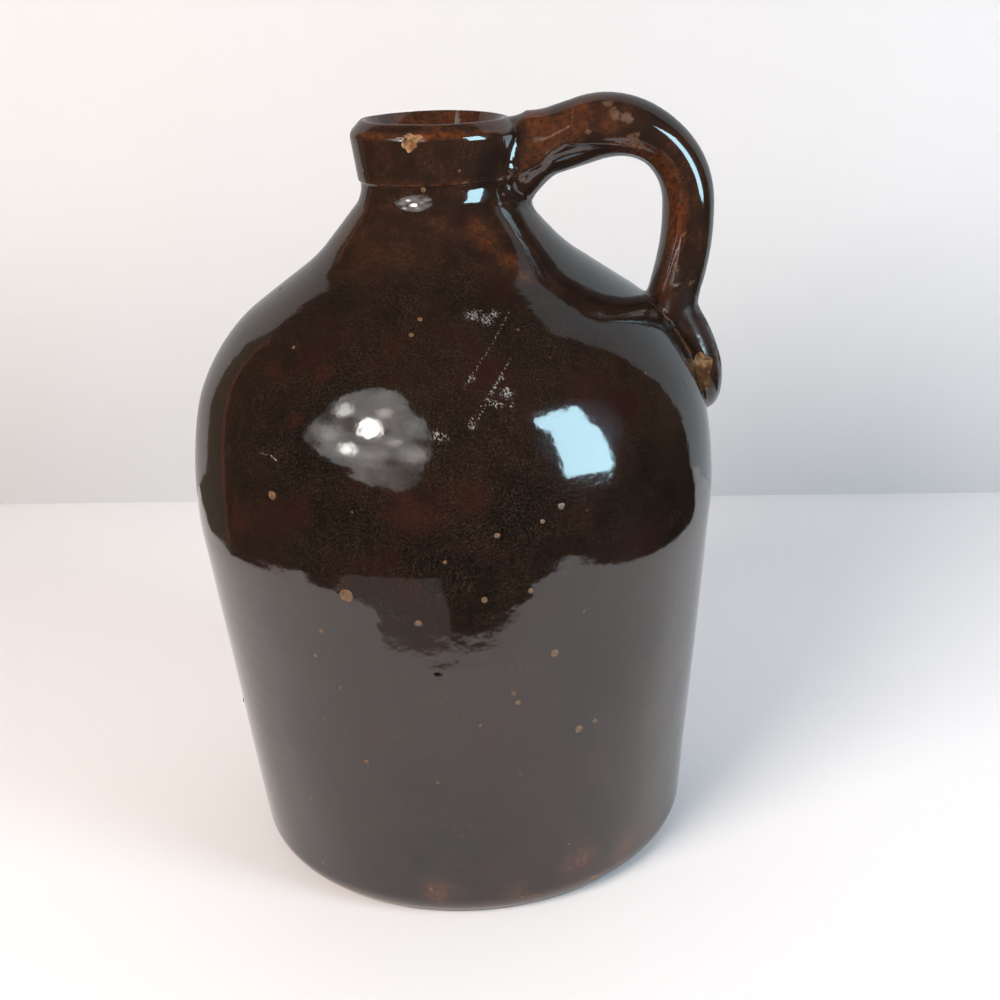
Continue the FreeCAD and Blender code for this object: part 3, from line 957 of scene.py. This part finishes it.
def glow(name, tint, strength, middle=None, reach=None, see_through=False, folds=0.0):
    """A card that shines evenly, or fades away from its middle; what is behind may show."""
    material, tree = new_material(name)
    shader = add_node(tree, "ShaderNodeEmission", inputs={"Color": colour(tint), "Strength": strength})
    if middle:
        place = add_node(tree, "ShaderNodeTexCoord").outputs["Object"]
        away = add_node(
            tree, "ShaderNodeVectorMath", {0: place}, operation="DISTANCE", inputs={1: middle}
        ).outputs["Value"]
        fade = add_node(
            tree, "ShaderNodeMapRange", {"Value": away}, interpolation_type="SMOOTHSTEP",
            inputs={"From Min": reach[0], "From Max": reach[1], "To Min": strength, "To Max": 0.0},
        ).outputs["Result"]
        if folds:
            cloth = spread_out(tree, clouds(tree, place, 330.0, 3.0), 0.32, 0.68)
            uneven = add_node(
                tree, "ShaderNodeMapRange", {"Value": cloth},
                inputs={"To Min": 1 - folds, "To Max": 1 + folds * 0.6},
            ).outputs["Result"]
            fade = add_node(tree, "ShaderNodeMath", {0: fade, 1: uneven}, operation="MULTIPLY").outputs[0]
        tree.links.new(fade, shader.inputs["Strength"])
    behind = colour("#ffffff" if see_through else "#000000")
    clear = add_node(tree, "ShaderNodeBsdfTransparent", inputs={"Color": behind})
    both = add_node(tree, "ShaderNodeAddShader", {0: shader.outputs[0], 1: clear.outputs[0]})
    out = add_node(tree, "ShaderNodeOutputMaterial")
    tree.links.new(both.outputs[0], out.inputs["Surface"])
    return material


def flat_card(name, corners, look):
    """A flat card with those corners and that material."""
    bm = bmesh.new()
    points = [bm.verts.new(corner) for corner in corners]
    edges = [bm.edges.new((one, two)) for one, two in zip(points, points[1:] + points[:1])]
    bmesh.ops.holes_fill(bm, edges=edges, sides=0)
    return as_object(bm, name, look)


def matt(name, tint):
    """Matt paper of one tint."""
    material, tree = new_material(name)
    shader = add_node(tree, "ShaderNodeBsdfDiffuse", inputs={"Color": colour(tint)})
    out = add_node(tree, "ShaderNodeOutputMaterial")
    tree.links.new(shader.outputs[0], out.inputs["Surface"])
    return material


def pale_backdrop():
    """Matt pale board, greyer low down as painted shade, see-through from its back. In the glaze it shows
    as a painted reflection that fades towards its top, as the real room does above it, and turns from warm
    at its left to cool at its right, as painted light of the warm lamp and the cool window."""
    material, tree = new_material("matt_pale_board")
    place = add_node(tree, "ShaderNodeTexCoord").outputs["Object"]
    parts = add_node(tree, "ShaderNodeSeparateXYZ", {"Vector": place})
    # Painted shade: the board is greyer low down.
    rise = add_node(
        tree, "ShaderNodeMapRange", {"Value": parts.outputs["Z"]}, interpolation_type="SMOOTHSTEP",
        inputs={"From Min": 0.0, "From Max": 0.2},
    ).outputs["Result"]
    tint = add_node(
        tree, "ShaderNodeMix", {"Factor": rise}, data_type="RGBA",
        inputs={6: colour(BOARD_LOW), 7: colour(BOARD_HIGH)},
    ).outputs[2]
    board = add_node(tree, "ShaderNodeBsdfDiffuse", {"Color": tint})
    # Painted light in the glaze: warm at the left from the lamp, cool at the right from the window.
    across = spread_out(tree, parts.outputs["X"], -0.3, 0.3)
    mirrored = add_node(
        tree, "ShaderNodeMix", {"Factor": across}, data_type="RGBA",
        inputs={6: colour("#dbd6d2"), 7: colour("#dbe6ee")},
    ).outputs[2]
    fade = add_node(
        tree, "ShaderNodeMapRange", {"Value": parts.outputs["Z"]},
        inputs={"From Min": 0.0, "From Max": 0.6, "To Min": 0.72, "To Max": 0.48},
    ).outputs["Result"]
    shine = add_node(tree, "ShaderNodeEmission", {"Color": mirrored, "Strength": fade})
    clear = add_node(tree, "ShaderNodeBsdfTransparent")
    rays = add_node(tree, "ShaderNodeLightPath")
    front = add_node(
        tree, "ShaderNodeMixShader",
        {0: rays.outputs["Is Glossy Ray"], 1: board.outputs[0], 2: shine.outputs[0]},
    )
    back = add_node(tree, "ShaderNodeNewGeometry").outputs["Backfacing"]
    mix = add_node(tree, "ShaderNodeMixShader", {0: back, 1: front.outputs[0], 2: clear.outputs[0]})
    out = add_node(tree, "ShaderNodeOutputMaterial")
    tree.links.new(mix.outputs[0], out.inputs["Surface"])
    return material


def from_jug(turn, rise, distance):
    """A point at that bearing, 0 towards the camera and 90 towards the handle, and height."""
    turn, rise = math.radians(turn), math.radians(rise)
    across, up = math.cos(rise) * distance, math.sin(rise) * distance
    return ROOM_MIDDLE + Vector((math.sin(turn) * across, -math.cos(turn) * across, up))


def room_card(name, outline, distance, look):
    """A flat card in the room, its corners given as bearing and rise."""
    return flat_card(name, [from_jug(turn, rise, distance) for turn, rise in outline], look)


def lamp(name, tint, watts, size, place):
    """A soft round lamp that lights things but isn't mirrored in the glaze."""
    light = bpy.data.lights.new(name, "AREA")
    light.shape = "DISK"
    light.size = size
    light.energy = watts
    light.color = colour(tint)[:3]
    made = bpy.data.objects.new(name, light)
    turn = (ROOM_MIDDLE - place).to_track_quat("-Z", "Y").to_matrix().to_4x4()
    made.matrix_world = Matrix.Translation(place) @ turn
    made.visible_glossy = False
    bpy.context.scene.collection.objects.link(made)


def round_card(name, middle, size, look):
    """A round card that faces the jug."""
    bm = bmesh.new()
    bmesh.ops.create_circle(bm, cap_ends=True, segments=CARD_SIDES, radius=size / 2)
    turn = (ROOM_MIDDLE - middle).to_track_quat("Z", "Y").to_matrix().to_4x4()
    bmesh.ops.transform(bm, matrix=Matrix.Translation(middle) @ turn, verts=bm.verts)
    return as_object(bm, name, look)


# Tints and strengths.
FLOOR_TINT = "#efedec"
# The board is greyer low down as painted shade.
BOARD_LOW, BOARD_HIGH = "#c8c8c8", "#d9d7d6"
KEY_WATTS, DAY_WATTS, FILL = 10.2, 5.4, 0.32
# Places round the jug: bearing, rise and distance.
KEY_PLACE, KEY_SIZE = (-40, 32, 0.95), 0.5
DAY_PLACE, DAY_SIZE = (55, 17, 0.9), 0.35
SOFTBOX_BRIGHTEST, SOFTBOX_REACH = (-42, 30, 2.6), (0.2, 2.6)
HALO_PLACE, HALO_SIZE, HALO_REACH = (58, 16, 2.9), 2.8, (0.3, 1.4)
CURTAIN_BRIGHTEST, CURTAIN_REACH = (112, 5, 3.4), (0.3, 1.7)
CARD_AWAY, BULB_AWAY, FURNITURE_AWAY = 3.0, 2.4, 3.4
CARD_SIDES = 24
# The softbox as the glaze mirrors it, corner by corner: bearing and rise.
SOFTBOX = (
    (-71, 21), (-68, 34), (-63, 46), (-52, 54), (-38, 56), (-22, 48), (-11, 34), (-11, 20), (-15, 6),
    (-22, 1), (-36, 3), (-52, 9),
)
# Its lamps: bearing, rise, size and strength of each.
BULBS = (
    (-40, 34, 0.50, 60.0), (-47, 20, 0.42, 16.0), (-58, 40, 0.40, 7.0), (-36, 44, 0.40, 3.5),
    (-26, 28, 0.36, 2.5), (-18, 20, 0.7, 1.6), (-60, 26, 0.6, 1.2),
)
WINDOW = ((40, 36), (65, 33), (70, -3), (68, -6), (46, -3), (43.5, 8), (43, 28), (40, 31))
# Dim brown things at the sides of the room.
CURTAIN = ((84, -30), (84, 50), (125, 55), (150, 50), (150, -30))
SHELF = ((-119, -30), (-117, -9), (-119, 1), (-126, 11), (-134, 30), (-150, 30), (-150, -30))
SHELF_EDGE = (
    (-119, -22), (-117, -9), (-119, 1), (-126, 11), (-134, 30), (-132.5, 31), (-124.5, 12), (-117.5, 2),
    (-115.5, -9), (-117.5, -22),
)


def build_stage():
    """Floor, backdrop, lamps and the room's own faint light."""
    half = FLOOR_HALF
    corners = ((-half, -half, 0), (half, -half, 0), (half, half, 0), (-half, half, 0))
    floor = flat_card("floor", corners, matt("matt_pale_paper", FLOOR_TINT))
    floor.visible_glossy = False
    corners = [(x, y, SHEET_LIFT) for x, y in SHEET]
    sheet = flat_card("sheet", corners, matt("matt_pale_sheet", FLOOR_TINT))
    only_mirrored(sheet)
    corners = [(x, WALL_BACK - x * WALL_TURN, z) for x, z in BOARD]
    board = flat_card("backdrop", corners, pale_backdrop())
    corners = [(x, y, SHEET_LIFT) for x, y in SHADE]
    shade = flat_card("sheet_in_shade", corners, glow("shaded_floor", "#a8a29c", 0.9))
    only_mirrored(shade)
    for piece in (floor, sheet, shade, board):
        bm = bmesh.new()
        bm.from_mesh(piece.data)
        bm.normal_update()
        wanted = Vector((0, -1, 0)) if piece is board else Vector((0, 0, 1))
        wrong = [face for face in bm.faces if face.normal.dot(wanted) < 0]
        bmesh.ops.reverse_faces(bm, faces=wrong)
        bm.to_mesh(piece.data)
        bm.free()

    middle = from_jug(*SOFTBOX_BRIGHTEST)
    lit_cloth = glow("softbox_cloth", "#f1f4f2", 2.65, middle, SOFTBOX_REACH, folds=0.8)
    cards = [room_card("softbox", SOFTBOX, CARD_AWAY, lit_cloth)]
    cards.append(room_card("window", WINDOW, CARD_AWAY, glow("window_daylight", "#c4efff", 14.5)))
    middle = from_jug(*HALO_PLACE)
    haze = glow("window_halo_glow", "#a9c0dc", 1.1, middle, HALO_REACH, see_through=True)
    cards.append(round_card("window_halo", middle, HALO_SIZE, haze))
    for number, (turn, rise, size, strength) in enumerate(BULBS):
        middle = from_jug(turn, rise, BULB_AWAY)
        reach = (size * 0.12, size / 2)
        shine = glow("bulb_glow_%d" % number, "#fff8f2", strength, middle, reach, see_through=True)
        cards.append(round_card("bulb_%d" % number, middle, size, shine))
    for name, outline, tint, strength in (
        ("shelf", SHELF, "#5a5a50", 0.9),
        ("shelf_edge", SHELF_EDGE, "#94503e", 1.5),
    ):
        look = glow(name + "_tint", tint, strength)
        cards.append(room_card(name, outline, FURNITURE_AWAY, look))
    middle = from_jug(*CURTAIN_BRIGHTEST)
    brown_cloth = glow("brown_curtain_cloth", "#6b5640", 2.0, middle, CURTAIN_REACH)
    cards.append(room_card("brown_curtain", CURTAIN, FURNITURE_AWAY, brown_cloth))
    for piece in cards:
        only_mirrored(piece)
    lamp("key_lamp", "#fff3ea", KEY_WATTS, KEY_SIZE, from_jug(*KEY_PLACE))
    lamp("day_lamp", "#dcefff", DAY_WATTS, DAY_SIZE, from_jug(*DAY_PLACE))

    world = bpy.data.worlds.new("dark_room")
    bpy.context.scene.world = world
    world.use_nodes = True
    tree = world.node_tree
    tree.nodes.clear()
    rays = add_node(tree, "ShaderNodeLightPath")
    room = add_node(tree, "ShaderNodeBackground", inputs={"Color": colour("#574d48"), "Strength": 0.25})
    fill = add_node(tree, "ShaderNodeBackground", inputs={"Color": colour("#f6f8ff"), "Strength": FILL})
    seen = add_node(tree, "ShaderNodeBackground", inputs={"Color": colour("#f4f3f2"), "Strength": 1.0})
    dark = add_node(
        tree, "ShaderNodeMixShader",
        {0: rays.outputs["Is Glossy Ray"], 1: fill.outputs[0], 2: room.outputs[0]},
    )
    shown = add_node(
        tree, "ShaderNodeMixShader",
        {0: rays.outputs["Is Camera Ray"], 1: dark.outputs[0], 2: seen.outputs[0]},
    )
    out = add_node(tree, "ShaderNodeOutputWorld")
    tree.links.new(shown.outputs[0], out.inputs["Surface"])


# The camera stands a little above the rim, looks down, and is held slightly askew.
CAMERA_PLACE = (0.0, -0.3953, 0.2518)
CAMERA_DOWN, CAMERA_TURN, CAMERA_ROLL = 20.77, 1.87, 2.84
CAMERA_LENS, FILM_WIDTH = 50.26, 36  # in millimetres
NEAREST = 0.01


def build_camera():
    """The camera at its place, with its lens."""
    lens = bpy.data.cameras.new("camera")
    lens.lens = CAMERA_LENS
    lens.sensor_width = FILM_WIDTH
    lens.clip_start = NEAREST
    camera = bpy.data.objects.new("camera", lens)
    turn = Matrix.Rotation(math.radians(-CAMERA_TURN), 4, "Z")
    tip = Matrix.Rotation(math.radians(90 - CAMERA_DOWN), 4, "X")
    roll = Matrix.Rotation(math.radians(-CAMERA_ROLL), 4, "Z")
    camera.matrix_world = Matrix.Translation(CAMERA_PLACE) @ turn @ tip @ roll
    bpy.context.scene.collection.objects.link(camera)
    bpy.context.scene.camera = camera


bpy.context.scene.view_settings.view_transform = "Standard"
jug = build_jug((slip_glaze(), bare_stoneware()))
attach(jug, "root")
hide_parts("jug")
build_stage()
build_camera()
